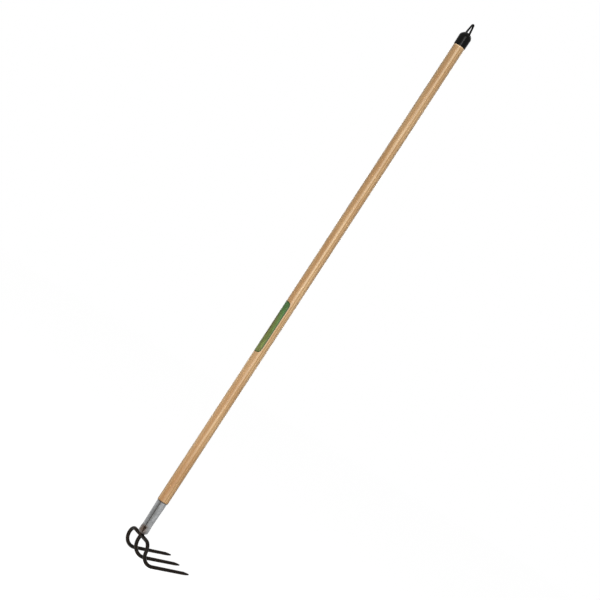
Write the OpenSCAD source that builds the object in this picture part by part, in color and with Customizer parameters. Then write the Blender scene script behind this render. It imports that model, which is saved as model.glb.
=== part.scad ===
// Long handled cultivator claw: an ash shaft with a moulded hanging cap, a rolled steel socket and
// three hooked tines. It hangs by its eye: the origin is where a hook bears in the eye, +Z runs up
// the shaft, the tines point to +X and the left tine is on the +Y side.

/* [Shaft] */
// Bare wood between the end cap and the shoulder above the socket
shaft_exposed_l = 1295; // [600:5:1600]
// Wood diameter at the end cap
shaft_top_d = 29.5; // [27:0.5:34]
// Wood diameter at the shoulder above the socket
shaft_foot_d = 28.5; // [26.5:0.5:34]
// Bevel at the shoulder and at both ends of the wood
shaft_bevel = 0.9; // [0.3:0.1:1.5]
// Length of the tapered tenon inside the socket
tenon_l = 54; // [35:1:58]
// Open joint between the shoulder and the rim of the socket
shoulder_gap = 0.8; // [0.2:0.1:2]

/* [End cap] */
// Wall of the cap at its open rim
cap_rim_t = 0.9; // [0.8:0.1:2.5]
// Wall of the cap at the top of its skirt
cap_wall_t = 1.4; // [1.2:0.1:3]
// Height of the skirt
cap_skirt_h = 26.3; // [15:0.1:50]
// Height of the dome above the skirt
cap_dome_h = 12.5; // [9:0.5:15]
// Wall left over the end of the wood, at the middle of the dome
cap_crown_t = 11; // [4:0.5:14]

/* [Hanging eye] */
// Thickness of the round loop at its top
eye_rod_d = 4.75; // [3:0.25:6]
// Thickness of the legs of the loop at their feet
eye_foot_d = 5.75; // [4:0.25:7]
// Bend radius at the top of the loop, to the middle of its thickness
eye_bend_r = 4.25; // [3.5:0.25:6]
// Height of the opening from the crown of the dome to the top of the loop
eye_clear_h = 20.25; // [14:0.25:35]
// Distance between the feet of the loop, inside the dome
eye_foot_w = 21; // [16:0.5:23]

/* [Socket] */
// Length of the socket from rim to mouth
socket_l = 88; // [80:1:120]
// Thickness of the rolled sheet
sheet_t = 1.6; // [1:0.1:2]
// Outer diameter at the rim
socket_rim_d = 26; // [25:0.1:28]
// Outer diameter at the waist
socket_waist_d = 23.3; // [22:0.1:24.5]
// Outer diameter of the swelling at the mouth
socket_bulb_d = 25.1; // [24.6:0.1:28]
// Distance from the rim down to the waist
waist_drop = 62; // [60:1:64]
// Radius of the hollow flare between the waist and the swelling
flare_r = 36; // [20:1:50]
// Radius of the lip that closes in around the tines
lip_r = 7; // [5:0.5:8]
// Diameter of the mouth
mouth_d = 15.8; // [14:0.1:17]
// Width of the open seam
seam_gap = 1.4; // [0.6:0.1:3]
// Direction of the seam round the shaft, in degrees from +X
seam_deg = 225; // [0:1:359]
// Width of the drop shaped opening where the seam ends
drop_w = 7.2; // [4.5:0.1:9]
// Length of the drop shaped opening
drop_l = 17.4; // [12:0.2:18]
// Angle from the seam round to the middle of the drop shaped opening, in degrees
drop_turn = 8; // [-9:1:9]

/* [Claw] */
// Diameter of the tine rod
tine_d = 9.2; // [8.4:0.1:10]
// Diameter to which each tine is drawn down where its point starts
point_d = 8; // [6:0.1:8]
// Distance from the centre tine to each side tine
tine_pitch = 58; // [45:1:90]
// Distance from the shaft's axis to the points
claw_reach = 136; // [110:1:180]
// Rise of the straight part of each tine towards the handle, in degrees
hook_rise = 14; // [0:1:30]
// Bend radius of the centre tine
centre_hook_r = 35.5; // [28:0.5:40]
// Bend radius of the hook of a side tine
side_hook_r = 29.5; // [25:0.5:40]
// Bend radius of the shoulder of a side tine
shoulder_r = 21.5; // [18:0.5:30]
// Forward lean of the shoulder of a side tine, in degrees
shoulder_lean = 9; // [0:1:15]
// Depth of the roots of the side tines below the mouth
root_drop = 5.1; // [5.1:0.1:7]
// Length of the centre tine inside the socket
centre_shank_l = 26; // [15:1:30]
// Length of the tapered point
point_l = 15; // [12:1:35]
// Diameter of the rounded nose
nose_d = 3.8; // [2:0.1:5]

/* [Fixing nail] */
// Diameter of the nail's shank
nail_d = 3.6; // [2.5:0.1:5]
// Length of the nail under its head
nail_l = 15; // [8:0.5:18]
// Diameter of the domed head
nail_head_d = 8; // [6:0.2:11]
// Height of the domed head
nail_head_h = 2.2; // [1.4:0.1:3]
// Distance of the nail below the rim of the socket
nail_drop = 18; // [10:1:40]

/* [Label] */
// Length along the shaft
label_l = 142; // [60:1:250]
// Width round the shaft
label_w = 45; // [25:1:65]
// Thickness of the film
label_t = 0.3; // [0.2:0.05:0.6]
// Radius of the corners
label_corner_r = 11; // [2:0.5:12]
// Distance from the shoulder up to the lower edge
label_lift = 422; // [60:1:440]
// Direction of the label's front edge round the shaft, in degrees from +X
label_edge_deg = 242; // [181:1:359]

/* [Hidden] */
$fn = 96;

// How far a cut runs past the surface it cuts
overrun = 2;
// Clearance between pieces that are pressed or seated together
seat_clear = 0.1;
// How far a straight stretch of rod is let into the bend before it
draw_lap = 0.2;
// How much finer a drawn stretch starts than the bend, on its diameter
draw_step = 0.3;
// Share of the dome's height at which the feet of the loop end
eye_foot_share = 0.67;
// Share of the distance to the nose that the point leans to the outer side of the hook
point_lean_share = 0.35;
// Share by which the cone of the point is wider than the rod where they meet
point_swell_share = 0.015;
// How far the flare bites into the taper above it
flare_bite = 0.15;
// Share of the drop shaped opening's width that its lower end keeps
drop_tail_share = 0.2;
// Closed lip below the drop shaped opening
drop_lip = 2.4;
// Radius of the weld around the roots of the tines, and its depth below the mouth
weld_r = 7.4;
weld_drop = 2.8;
// Height of the weld inside the mouth
weld_plug_h = 3.5;
// Length of the nail's point
nail_point_l = 4;

ash_colour = [0.78, 0.60, 0.40];
black_moulding_colour = [0.10, 0.10, 0.09];
zinc_colour = [0.58, 0.58, 0.57];
enamel_colour = [0.12, 0.10, 0.08];
weld_colour = [0.20, 0.16, 0.13];
film_colour = [0.36, 0.46, 0.25];

// Heights, from the hook's bearing point at 0 down to the mouth of the socket
crown_z = -eye_clear_h;
skirt_top_z = crown_z - cap_dome_h;
cap_rim_z = skirt_top_z - cap_skirt_h;
cup_floor_z = crown_z - cap_crown_t;
shoulder_z = cap_rim_z - shaft_exposed_l;
socket_rim_z = shoulder_z - shoulder_gap;
mouth_z = socket_rim_z - socket_l;
root_z = mouth_z - root_drop;

// Radii
cup_r = shaft_top_d / 2 + seat_clear;
cap_rim_r = cup_r + cap_rim_t;
cap_r = cup_r + cap_wall_t;
cap_draft = (cap_r - cap_rim_r) / cap_skirt_h;
dome_r = (cap_r * cap_r + cap_dome_h * cap_dome_h) / (2 * cap_dome_h);
rim_r = socket_rim_d / 2;
waist_r = socket_waist_d / 2;
bulb_r = socket_bulb_d / 2;
mouth_r = mouth_d / 2;
rod_r = tine_d / 2;
nose_r = nose_d / 2;
socket_taper = (rim_r - waist_r) / waist_drop;

// Lowest centre line of all three hooks, below the mouth
claw_drop = root_drop + shoulder_r * cos(shoulder_lean) + side_hook_r * (1 - sin(shoulder_lean));
centre_leg_l = claw_drop - centre_hook_r;
centre_run_l = (claw_reach - centre_hook_r * (1 + sin(hook_rise))) / cos(hook_rise);
side_hook_start = shoulder_r * sin(shoulder_lean);
side_hook_span = side_hook_r * (cos(shoulder_lean) + sin(hook_rise));
side_run_l = (claw_reach - side_hook_start - side_hook_span) / cos(hook_rise);

// Direction and place of the nail, opposite the seam
nail_deg = seam_deg + 180;
nail_z = socket_rim_z - nail_drop;
nail_seat_r = rim_r - socket_taper * nail_drop;
nail_dome_r = (nail_head_h * nail_head_h + nail_head_d * nail_head_d / 4) / (2 * nail_head_h);

// Label's angles and heights
label_mid_r = (shaft_foot_d + shaft_top_d) / 4;
label_wrap_deg = label_w / label_mid_r * 180 / PI;
label_corner_deg = label_corner_r / label_mid_r * 180 / PI;
label_low_z = shoulder_z + label_lift;
label_high_z = label_low_z + label_l;

// Radius of the wood at a height
function shaft_r(z) =
    (shaft_foot_d + (shaft_top_d - shaft_foot_d) * (z - shoulder_z) / shaft_exposed_l) / 2;

// Inner radius of the socket at a distance below its rim, above the waist
function socket_bore_r(drop) = rim_r - sheet_t - socket_taper * drop;

// A straight stretch of round rod along +Z; what follows starts at its end
module straight_rod(d, l) {
    cylinder(d = d, h = l);
    translate([0, 0, l]) children();
}

// A straight stretch after a bend, let into the bend's end and drawn to another diameter
module drawn_rod(d, end_d, l) {
    translate([0, 0, -draw_lap]) cylinder(d1 = d - draw_step, d2 = end_d, h = l + draw_lap);
    translate([0, 0, l]) children();
}

// A bend of round rod from +Z towards +X; what follows starts at its end
module bent_rod(d, r, turn) {
    translate([r, 0, 0])
        rotate([90, 0, 180])
            rotate_extrude(angle = turn)
                translate([r, 0])
                    circle(d = d);
    translate([r - r * cos(turn), 0, r * sin(turn)])
        rotate([0, turn, 0])
            children();
}

// Outline of a drop: a large circle at the origin and a small one below it, joined by tangents
module drop_outline(large_r, small_r, spacing) {
    lean = asin((large_r - small_r) / spacing);
    circle(r = large_r);
    translate([0, -spacing]) circle(r = small_r);
    polygon([
        [large_r * cos(lean), -large_r * sin(lean)],
        [small_r * cos(lean), -spacing - small_r * sin(lean)],
        [-small_r * cos(lean), -spacing - small_r * sin(lean)],
        [-large_r * cos(lean), -large_r * sin(lean)]
    ]);
}

// Forged point on the end of a tine, lying nearer the outer side of the hook
module point() {
    shift = point_lean_share * (point_d - nose_d) / 2;
    lean = atan(shift / point_l);
    cone_l = norm([shift, point_l]);
    start_r = point_d / 2 * (1 + point_swell_share);
    back_r = start_r + (start_r - nose_r) * tine_d / cone_l;
    intersection() {
        cylinder(d = point_d, h = point_l + nose_d);
        rotate([0, -lean, 0])
            rotate_extrude() {
                polygon([[0, -tine_d], [back_r, -tine_d], [nose_r, cone_l], [0, cone_l]]);
                intersection() {
                    translate([0, cone_l]) circle(r = nose_r);
                    translate([0, cone_l - nose_r]) square([nose_r, nose_d]);
                }
            }
    }
}

// Tine on the +Y side: cut square at the centre tine, straight out, over a shoulder and round the hook
module side_tine() {
    root_y = rod_r + seat_clear;
    translate([0, root_y, root_z])
        rotate([-90, 90 - shoulder_lean, 0])
            straight_rod(tine_d, tine_pitch - shoulder_r - root_y)
            bent_rod(tine_d, shoulder_r, 90)
            rotate([0, 0, -90])
            bent_rod(tine_d, side_hook_r, 90 + hook_rise - shoulder_lean)
            drawn_rod(tine_d, point_d, side_run_l - point_l)
            point();
}

// Half section of the rolled socket, drawn in by an inset from its outer face
module socket_section(inset) {
    floor_z = inset - socket_l;
    corner_r = lip_r - inset;
    difference() {
        polygon([
            [0, 0],
            [rim_r - inset, 0],
            [waist_r - inset, -waist_drop],
            [bulb_r - inset, -waist_drop],
            [bulb_r - inset, floor_z],
            [0, floor_z]
        ]);
        translate([waist_r - inset - flare_bite + flare_r, -waist_drop]) circle(r = flare_r);
        difference() {
            translate([bulb_r - lip_r, floor_z]) square(corner_r);
            translate([bulb_r - lip_r, floor_z + corner_r]) circle(r = corner_r);
        }
    }
}

// Opening along the seam and the drop shaped hole that it ends in
module seam_cut() {
    large_r = drop_w / 2;
    small_r = large_r * drop_tail_share;
    drop_low = socket_l - drop_lip;
    spacing = drop_l - large_r - small_r;
    drop_high = drop_low - small_r - spacing;
    translate([0, -seam_gap / 2, -drop_high])
        cube([rim_r + overrun, seam_gap, drop_high + overrun]);
    translate([0, 0, -drop_high])
        rotate([90, 0, 90 + drop_turn])
            linear_extrude(rim_r + overrun)
                drop_outline(large_r, small_r, spacing);
}

// Bore for the nail, from the axis outwards
module nail_bore() {
    translate([0, 0, nail_z])
        rotate([0, 0, nail_deg])
            rotate([0, 90, 0])
                cylinder(d = nail_d + 2 * seat_clear, h = rim_r + overrun);
}

// What is cut off one corner of the label; side and end are 1 or -1
module label_corner_cut(side, end) {
    reach = label_corner_r + overrun;
    rotate([90, 0, 90])
        linear_extrude(2 * label_mid_r)
            difference() {
                translate([min(0, side * reach), min(0, end * reach)]) square(reach);
                circle(r = label_corner_r);
            }
}

module shaft() {
    color(ash_colour)
        difference() {
            rotate_extrude()
                polygon([
                    [0, cup_floor_z - seat_clear],
                    [shaft_top_d / 2 - shaft_bevel, cup_floor_z - seat_clear],
                    [shaft_top_d / 2, cup_floor_z - seat_clear - shaft_bevel],
                    [shaft_top_d / 2, cap_rim_z],
                    [shaft_foot_d / 2, shoulder_z + shaft_bevel],
                    [shaft_foot_d / 2 - shaft_bevel, shoulder_z],
                    [socket_bore_r(0) - seat_clear, shoulder_z],
                    [socket_bore_r(0) - seat_clear, socket_rim_z],
                    [socket_bore_r(tenon_l) - seat_clear, socket_rim_z - tenon_l],
                    [socket_bore_r(tenon_l) - seat_clear - shaft_bevel, socket_rim_z - tenon_l - shaft_bevel],
                    [0, socket_rim_z - tenon_l - shaft_bevel]
                ]);
            nail_bore();
        }
}

module end_cap() {
    foot_z = crown_z - eye_foot_share * cap_dome_h;
    bend_z = eye_rod_d / 2 - eye_bend_r;
    foot_y = eye_foot_w / 2;
    foot_to_bend = norm([foot_y, bend_z - foot_z]);
    leg_lean = acos(eye_bend_r / foot_to_bend) - atan2(bend_z - foot_z, foot_y);
    leg_l = sqrt(foot_to_bend * foot_to_bend - eye_bend_r * eye_bend_r);
    color(black_moulding_colour) {
        rotate_extrude()
            difference() {
                polygon([
                    [0, cap_rim_z],
                    [cap_rim_r, cap_rim_z],
                    [cap_r + cap_draft * (cap_dome_h + overrun), crown_z + overrun],
                    [0, crown_z + overrun]
                ]);
                translate([0, crown_z - dome_r])
                    difference() {
                        square(dome_r + 2 * overrun);
                        circle(r = dome_r);
                    }
                translate([0, cap_rim_z - overrun]) square([cup_r, cup_floor_z - cap_rim_z + overrun]);
            }
        translate([0, 0, bend_z])
            rotate([90, 0, 90])
                rotate([0, 0, leg_lean])
                    rotate_extrude(angle = 180 - 2 * leg_lean)
                        translate([eye_bend_r, 0])
                            circle(d = eye_rod_d);
        for (side = [-1, 1])
            translate([0, side * eye_bend_r * cos(leg_lean), bend_z + eye_bend_r * sin(leg_lean)])
                rotate([180 + side * leg_lean, 0, 0])
                    drawn_rod(eye_rod_d, eye_foot_d, leg_l);
    }
}

module socket() {
    color(zinc_colour)
        difference() {
            translate([0, 0, socket_rim_z])
                difference() {
                    rotate_extrude()
                        difference() {
                            socket_section(0);
                            socket_section(sheet_t);
                            translate([0, -socket_l - overrun]) square([mouth_r, sheet_t + lip_r]);
                        }
                    rotate([0, 0, seam_deg]) seam_cut();
                }
            nail_bore();
        }
}

module tine_left() {
    color(enamel_colour) side_tine();
}

module tine_centre() {
    color(enamel_colour)
        translate([0, 0, mouth_z + centre_shank_l])
            rotate([180, 0, 0])
                straight_rod(tine_d, centre_shank_l + centre_leg_l)
                bent_rod(tine_d, centre_hook_r, 90 + hook_rise)
                drawn_rod(tine_d, point_d, centre_run_l - point_l)
                point();
}

module tine_right() {
    color(enamel_colour) mirror([0, 1, 0]) side_tine();
}

module root_weld() {
    color(weld_colour)
        difference() {
            union() {
                translate([0, 0, mouth_z - weld_drop]) sphere(r = weld_r);
                translate([0, 0, mouth_z]) cylinder(r = mouth_r - seat_clear, h = weld_plug_h);
            }
            translate([0, 0, mouth_z - centre_shank_l]) cylinder(d = tine_d, h = 2 * centre_shank_l);
            translate([0, 0, root_z])
                rotate([90, 0, 0])
                    cylinder(r = rod_r + seat_clear, h = 2 * tine_pitch, center = true);
        }
}

module fixing_nail() {
    color(zinc_colour)
        difference() {
            translate([0, 0, nail_z])
                rotate([0, 0, nail_deg])
                    translate([nail_seat_r, 0, 0])
                        rotate([0, 90, 0]) {
                            intersection() {
                                translate([0, 0, nail_head_h - nail_dome_r]) sphere(r = nail_dome_r);
                                translate([0, 0, -sheet_t]) cylinder(d = nail_head_d, h = nail_dome_r);
                            }
                        }
            translate([0, 0, socket_rim_z - waist_drop])
                cylinder(r1 = waist_r, r2 = rim_r, h = waist_drop);
        }
    color(zinc_colour)
        translate([0, 0, nail_z])
            rotate([0, 0, nail_deg])
                translate([nail_seat_r, 0, 0])
                    rotate([0, -90, 0]) {
                        translate([0, 0, -nail_head_h / 2])
                            cylinder(d = nail_d, h = nail_l - nail_point_l + nail_head_h / 2);
                        translate([0, 0, nail_l - nail_point_l])
                            cylinder(d1 = nail_d, d2 = 0, h = nail_point_l);
                    }
}

module label() {
    low_r = shaft_r(label_low_z) + seat_clear;
    high_r = shaft_r(label_high_z) + seat_clear;
    color(film_colour)
        difference() {
            rotate([0, 0, label_edge_deg - label_wrap_deg])
                rotate_extrude(angle = label_wrap_deg)
                    polygon([
                        [low_r, label_low_z],
                        [low_r + label_t, label_low_z],
                        [high_r + label_t, label_high_z],
                        [high_r, label_high_z]
                    ]);
            for (side = [-1, 1], end = [-1, 1]) {
                edge_deg = side > 0 ? label_edge_deg : label_edge_deg - label_wrap_deg;
                edge_z = end > 0 ? label_high_z : label_low_z;
                translate([0, 0, edge_z - end * label_corner_r])
                    rotate([0, 0, edge_deg - side * label_corner_deg])
                        label_corner_cut(side, end);
            }
        }
}

shaft();
end_cap();
socket();
tine_left();
tine_centre();
tine_right();
root_weld();
fixing_nail();
label();
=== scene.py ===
import math

import bmesh
import bpy
from bpy.props import FloatProperty, FloatVectorProperty, PointerProperty
from mathutils import Matrix, Vector


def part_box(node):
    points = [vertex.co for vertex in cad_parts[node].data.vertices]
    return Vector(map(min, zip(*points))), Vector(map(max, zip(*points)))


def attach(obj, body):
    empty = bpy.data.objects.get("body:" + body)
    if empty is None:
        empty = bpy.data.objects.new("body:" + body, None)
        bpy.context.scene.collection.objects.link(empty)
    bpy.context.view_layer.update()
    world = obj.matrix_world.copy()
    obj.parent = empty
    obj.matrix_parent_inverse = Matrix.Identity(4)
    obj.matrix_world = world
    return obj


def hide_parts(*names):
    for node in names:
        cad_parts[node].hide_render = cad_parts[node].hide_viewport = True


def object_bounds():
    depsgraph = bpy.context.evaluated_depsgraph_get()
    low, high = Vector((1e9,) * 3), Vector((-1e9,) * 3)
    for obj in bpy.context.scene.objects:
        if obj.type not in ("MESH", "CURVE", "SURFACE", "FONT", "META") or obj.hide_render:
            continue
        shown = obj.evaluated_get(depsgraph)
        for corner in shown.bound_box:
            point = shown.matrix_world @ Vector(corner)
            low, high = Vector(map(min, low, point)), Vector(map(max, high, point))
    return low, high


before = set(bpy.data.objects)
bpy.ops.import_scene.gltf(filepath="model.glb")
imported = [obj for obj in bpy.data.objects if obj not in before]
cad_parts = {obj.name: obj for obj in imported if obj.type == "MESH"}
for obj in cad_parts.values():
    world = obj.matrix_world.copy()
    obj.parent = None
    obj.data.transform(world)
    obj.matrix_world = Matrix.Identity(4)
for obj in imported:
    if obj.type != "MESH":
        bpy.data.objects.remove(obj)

bl_info = {
    "name": "Cultivator Claw",
    "version": (1, 0, 0),
    "blender": (4, 5, 0),
    "location": "View3D > Sidebar > Cultivator",
    "description": "Models and finishes the pieces of a cultivator claw on its packed frame",
    "category": "Object",
}

CAD_LOW, CAD_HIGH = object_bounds()
CAP_LOW, CAP_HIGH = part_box("end_cap")
SOCKET_LOW, SOCKET_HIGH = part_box("socket")
LABEL_LOW, LABEL_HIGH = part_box("label")
LEFT_LOW, LEFT_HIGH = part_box("tine_left")
CENTRE_LOW, CENTRE_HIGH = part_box("tine_centre")

# All lengths are in metres. Points closer than a double and edges shorter than a sliver are merged.
DOUBLE = 1e-7
SLIVER = 2e-6
# Sides of the round pieces.
CAP_SIDES = 72
LOOP_SIDES = 32
SOCKET_SIDES = 96
DROP_SIDES = 48
ROD_SIDES = 40
# Steps along the curves of the pieces.
DOME_STEPS = 14
SOCKET_STEPS = 10
WELD_STEPS = 12
LABEL_STEPS = 32
# Degrees of a bend to each step, and the fewest steps of a bend.
BEND_STEP = 4
BEND_LEAST = 6
# Steps of a forged point, the straight share of its taper, and the turns of its nose in degrees.
POINT_STEPS = 8
POINT_TAPER = 0.35
NOSE_TURNS = (30, 60, 80)
# Open joint between the socket's rim and the shoulder of the shaft.
JOINT_GAP = 0.0008
# The cap: the share of the cup's radius where its roof starts, the end of the dome's arc short of
# its pole, and the voxels that melt the loop into the dome.
ROOF_SHARE = 0.3
DOME_END = math.radians(88)
CAP_VOXEL = 0.0005
# Share of the way from the waist to the swelling over which the socket widens.
FLARE_SHARE = 0.7
# The socket's cutters: where they start from the axis, their length, and the seam's past the rim.
CUT_START = 0.003
CUT_L = 0.016
CUT_SPARE = 0.002
# Edges that are sharper than these are rounded, or stay creased.
ROUNDED_FROM = math.radians(50)
SHEET_CREASE = math.radians(35)
FILM_CREASE = math.radians(40)
# Where the weld has browned the socket most, with its height above the mouth.
HEAT_X, HEAT_Y, HEAT_Z = -0.0085, -0.0075, 0.011
# The weld: the arc of its ball, its gap in the mouth, the foot, top and inset of its plug, and the
# width and height of its ripples.
BALL_START, BALL_END = math.radians(-86), math.radians(16)
WELD_GAP = 0.0001
PLUG_FOOT = 0.0006
PLUG_TOP = 0.0034
PLUG_INSET = 0.002
RIPPLE_W = 0.0028
RIPPLE_H = 0.0012
# Each lamp's name and setting, its place from the shaft's middle, towards the camera, to the right
# and up, and its width and height.
LAMPS = (
    ("Key", "key", (2.4, 0.28, 0.05), 0.2, 2.8),
    ("Front", "front", (2.4, -0.2, 0.05), 0.8, 2.4),
    ("Fill left", "fill", (-2.1, -0.7, 0.4), 1.2, 2.4),
    ("Fill low", "low_fill", (0.2, -0.55, -0.45), 0.3, 0.5),
    ("Fill right", "fill", (-2.1, 0.7, 0.4), 1.2, 2.4),
)
SENSOR_MM = 36.0
FLOOR_W = 24.0

# Widths of the patterns in the materials, as they are drawn.
RING_W = 0.005
PORE_W = 0.0024
TONE_W = 0.012
SPARK_W = 0.0008
MARK_W = 0.009
LINE_W = 0.0014
CLOUD_W = 0.007
RUN_W = 0.006
FORGED_W = 0.0015
FLAKE_W = 0.002
PATCH_W = 0.006
FIBRE_W = 0.05
# Ring spacing of a wave texture at scale 1.
WAVE_W = 0.314
# From the pith of the tree to the shaft, and from the shaft's axis to its stripe of heartwood.
PITH = (0.058, 0.04, 0.0)
HEARTWOOD_SIDE = (-0.656, -0.755, 0.0)
# Where the stripe starts and is full, off the axis, and how far up from the head it fades out.
STRIPE_START, STRIPE_FULL = 0.0112, 0.0142
STRIPE_L = 0.36
# Where the painted highlight below the cap and iron stain above the shoulder start and are full.
RIM_HIGHLIGHT_START, RIM_HIGHLIGHT_FULL = 0.0028, 0.002
STAIN_START, STAIN_FULL = 0.0028, 0.0006
# Where dirt with painted shade beside the seam and the tint of the weld's heat start and are full.
DIRT_AND_SHADE_START, DIRT_AND_SHADE_FULL = 0.0115, 0.0005
HEAT_START, HEAT_FULL = 0.02, 0.01
HEAT_RAGGED = 0.01
# Length over which the enamel ends at the mouth of the socket.
ENAMEL_FADE = 0.001
# Share of the label's border that has the full dark ink, and the paper's glow to the camera.
BORDER_FULL = 0.6
PAPER_GLOW = 0.96


def linear(code):
    """Linear colour of an sRGB hex value."""
    shares = [int(code[i : i + 2], 16) / 255 for i in (1, 3, 5)]
    return [c / 12.92 if c <= 0.04045 else ((c + 0.055) / 1.055) ** 2.4 for c in shares]


def rgba(colour):
    """A colour with full alpha, as colour sockets take it."""
    return (*colour, 1.0)


# Settings


def metres(name, text, size):
    """A length setting."""
    return FloatProperty(name=name, description=text, default=size, unit="LENGTH", precision=5)


def degrees(name, text, turn):
    """An angle setting, given in degrees."""
    return FloatProperty(
        name=name, description=text, default=math.radians(turn), subtype="ANGLE"
    )


def factor(name, text, share):
    """A setting that is a share."""
    return FloatProperty(name=name, description=text, default=share, subtype="FACTOR")


def watts(name, text, power):
    """A lamp's power setting."""
    return FloatProperty(name=name, description=text, default=power, unit="POWER")


def srgb(name, text, code):
    """A colour setting, from an sRGB hex value."""
    return FloatVectorProperty(
        name=name, description=text, default=linear(code), size=3, subtype="COLOR"
    )


class CultivatorCapSettings(bpy.types.PropertyGroup):
    """Sizes and colour of the end cap."""

    skirt_h: metres("Skirt height", "Height of the skirt above the rim", 0.0263)
    dome_h: metres("Dome height", "Height of the dome above the skirt", 0.0125)
    cup_r: metres("Cup radius", "Inner radius, over the wood", 0.01485)
    rim_t: metres("Rim wall", "Wall at the rim", 0.0009)
    wall_t: metres("Skirt wall", "Wall at the top of the skirt", 0.0014)
    crown_t: metres("Crown wall", "Wall over the end of the wood", 0.011)
    loop_d: metres("Loop thickness", "Thickness of the loop at its top", 0.00475)
    foot_d: metres("Foot thickness", "Thickness of the loop at its feet", 0.00575)
    loop_r: metres("Loop radius", "Bend radius at the top of the loop", 0.00425)
    foot_w: metres("Foot spacing", "Distance between the feet", 0.021)
    foot_drop: metres("Foot depth", "Depth of the feet below the crown", 0.0084)
    colour: srgb("Moulding", "Colour of the moulding", "#0B0B09")


class CultivatorSocketSettings(bpy.types.PropertyGroup):
    """Sizes and colours of the rolled socket and its nail."""

    length: metres("Length", "Length from rim to mouth", 0.088)
    sheet_t: metres("Sheet", "Thickness of the rolled sheet", 0.0016)
    rim_r: metres("Rim radius", "Outer radius at the rim", 0.013)
    waist_r: metres("Waist radius", "Outer radius at the waist", 0.01165)
    bulb_r: metres("Swelling radius", "Outer radius of the swelling", 0.01255)
    waist_drop: metres("Waist depth", "Distance from the rim to the waist", 0.062)
    lip_r: metres("Lip radius", "Radius of the lip", 0.007)
    mouth_r: metres("Mouth radius", "Radius of the mouth", 0.0079)
    seam_gap: metres("Seam", "Width of the open seam", 0.0014)
    seam_turn: degrees("Seam direction", "Direction of the seam from +X", 225)
    drop_turn: degrees("Drop direction", "Angle from the seam to the drop hole", 8)
    drop_w: metres("Drop width", "Width of the drop hole", 0.0072)
    drop_l: metres("Drop length", "Length of the drop hole", 0.0174)
    drop_tail: factor("Drop tail", "Share of the width kept at the lower end", 0.2)
    drop_lip: metres("Drop lip", "Closed lip under the drop hole", 0.0024)
    edge_r: metres("Edge rounding", "Rounding of the sheared edges", 0.0002)
    zinc: srgb("Zinc", "Bright zinc plating", "#A4A5A6")
    dull_zinc: srgb("Dull zinc", "Dulled zinc plating", "#858687")
    # Colour of the dirt along the seam, with the painted shade of the seam's groove.
    seam_dirt_and_shade: srgb("Dirt", "Dirt along the seam", "#4B4B4A")
    heat_tint: srgb("Heat tint", "Steel browned by the weld", "#5F5046")


class CultivatorClawSettings(bpy.types.PropertyGroup):
    """Sizes and colours of the tines and their weld."""

    rod_d: metres("Rod", "Diameter of the tine rod", 0.0092)
    point_d: metres("Drawn rod", "Diameter where the point starts", 0.008)
    pitch: metres("Pitch", "Distance between neighbouring tines", 0.058)
    reach: metres("Reach", "Distance from the axis to the points", 0.136)
    rise: degrees("Rise", "Rise of the straight run", 14)
    centre_hook_r: metres("Centre hook", "Bend radius of the centre hook", 0.0355)
    side_hook_r: metres("Side hook", "Bend radius of a side hook", 0.0295)
    shoulder_r: metres("Shoulder", "Bend radius of a shoulder", 0.0215)
    shoulder_lean: degrees("Shoulder lean", "Forward lean of a shoulder", 9)
    point_l: metres("Point", "Length of the forged point", 0.015)
    nose_d: metres("Nose", "Diameter of the rounded nose", 0.0038)
    point_lean: factor("Point lean", "Share by which the point lies to the outer side", 0.35)
    weld_r: metres("Weld radius", "Radius of the weld", 0.0074)
    weld_drop: metres("Weld depth", "Depth of the weld's middle below the mouth", 0.0028)
    enamel: srgb("Enamel", "Dark enamel", "#0F0B08")
    worn_enamel: srgb("Worn enamel", "Enamel where it wears brown", "#21180F")
    bare_rod: srgb("Bare rod", "Rod browned by the weld inside the socket", "#40342C")
    scale: srgb("Weld scale", "Burnt scale on the weld", "#3A2C22")


class CultivatorShaftSettings(bpy.types.PropertyGroup):
    """Colours of the ash shaft."""

    latewood: srgb("Latewood", "Pale bands of the grain", "#D1B185")
    earlywood: srgb("Earlywood", "Dark bands of the grain", "#A37D54")
    heartwood: srgb("Warm wood", "Warmer wood towards the head", "#9C7044")
    # Pale colour of a painted highlight in a ring just below the cap.
    rim_highlight: srgb("Bare wood", "Pale wood at the rim of the cap", "#DDBC92")
    stain: srgb("Iron stain", "Dark stain at the socket", "#33291F")


class CultivatorLabelSettings(bpy.types.PropertyGroup):
    """Sizes and colours of the label."""

    width: metres("Width", "Width round the shaft", 0.045)
    film_t: metres("Film", "Thickness of the film", 0.0003)
    corner_r: metres("Corners", "Radius of the corners", 0.011)
    seat_r: metres("Seat radius", "Inner radius on the wood", 0.01454)
    edge_turn: degrees("Edge direction", "Direction of the front edge from +X", 242)
    border: metres("Border", "Width of the dark border", 0.003)
    top_green: srgb("Top", "Ink at the top", "#486E40")
    leaf_green: srgb("Middle", "Ink in the middle", "#667F42")
    foot_green: srgb("Foot", "Ink at the foot", "#757B45")
    olive: srgb("Olive", "Ink away from the front edge", "#6A5A32")
    edge_green: srgb("Edge", "Dark ink at the edge", "#22371C")


class CultivatorStageSettings(bpy.types.PropertyGroup):
    """Camera, lamps and floor."""

    azimuth: degrees("Azimuth", "Direction of the camera round the shaft", 329)
    eye_z: metres("Eye height", "Height of the camera", -0.77225)
    aim_side: metres("Aim offset", "Sideways offset of the aim from the axis", 0.01207)
    aim_z: metres("Aim height", "Height that the camera aims at", -0.77225)
    distance: metres("Distance", "Distance of the camera", 4.1)
    roll: degrees("Roll", "Roll that leans the shaft over", 33.1)
    lens: FloatProperty(
        name="Lens", description="Focal length in millimetres", default=103.2, unit="CAMERA"
    )
    floor_drop: metres("Floor depth", "Depth of the floor below the claw", 0.45)
    world: FloatProperty(name="Ambient", description="Strength of the even light", default=0.04)
    key: watts("Key", "Power of the key lamp", 46.0)
    front: watts("Front", "Power of the broad lamp in front", 26.0)
    fill: watts("Fill", "Power of each fill lamp behind the tool", 26.0)
    low_fill: watts("Low fill", "Power of the small lamp beside the head", 0.9)


# Modelling


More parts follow.
